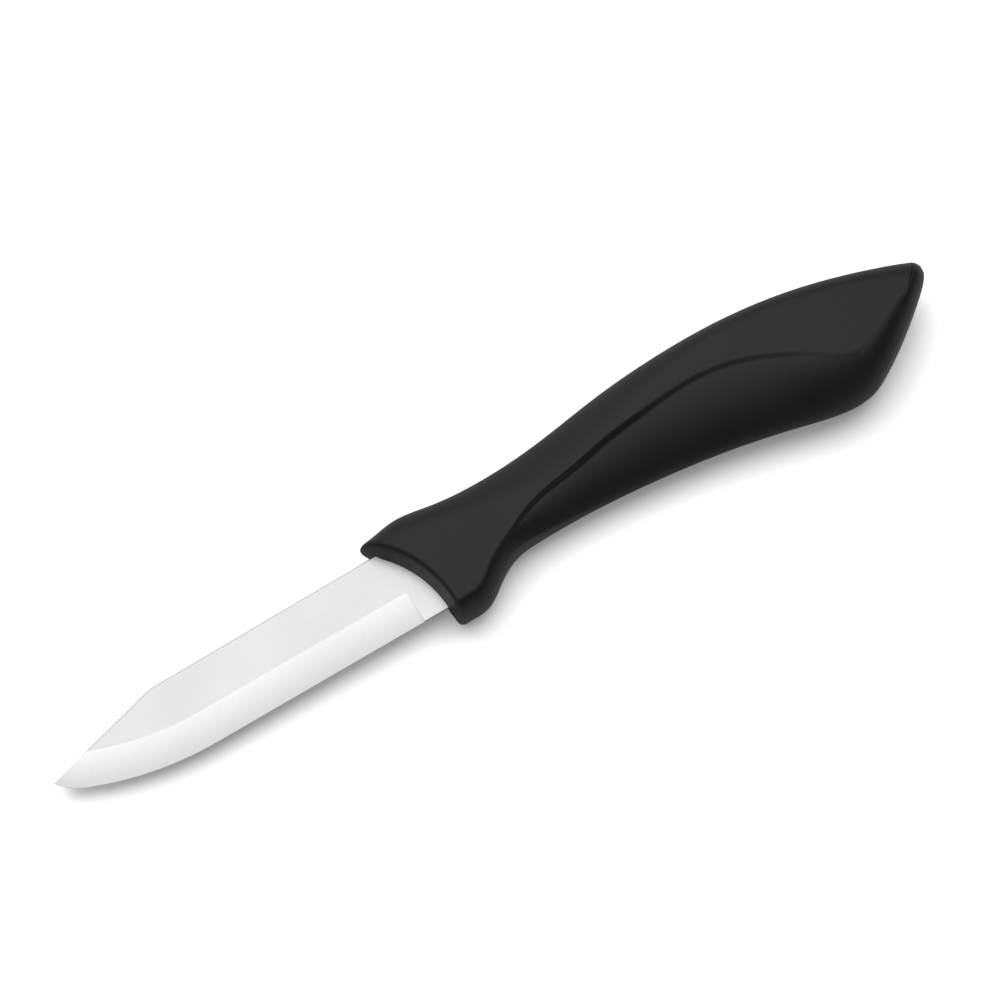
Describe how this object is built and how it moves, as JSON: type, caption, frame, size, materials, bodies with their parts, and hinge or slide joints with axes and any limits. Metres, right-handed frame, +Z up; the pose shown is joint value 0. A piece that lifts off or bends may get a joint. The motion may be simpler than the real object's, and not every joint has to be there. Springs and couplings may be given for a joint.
{
  "type": "paring knife",
  "caption": "Small paring knife with a clipped point, a ground bevel along the edge and a curved moulded handle with a finger guard, lying on its side.",
  "frame": {"origin": "centre of the box around the resting knife, on the surface it lies on", "axes": "+X from the tip to the butt, +Y from the cutting edge to the spine, +Z up. The knife lies on its side on its guard and its belly, so the blade leans nose down by 1.69 degrees."},
  "size_m": [0.1852, 0.0274, 0.0173],
  "materials": {
    "blade_steel": "satin flats with a brighter ground bevel",
    "handle_plastic": "fine matt moulded texture"
  },
  "bodies": {
    "root": {"blade": "blade_steel", "handle": "handle_plastic"}
  },
  "joints": []
}
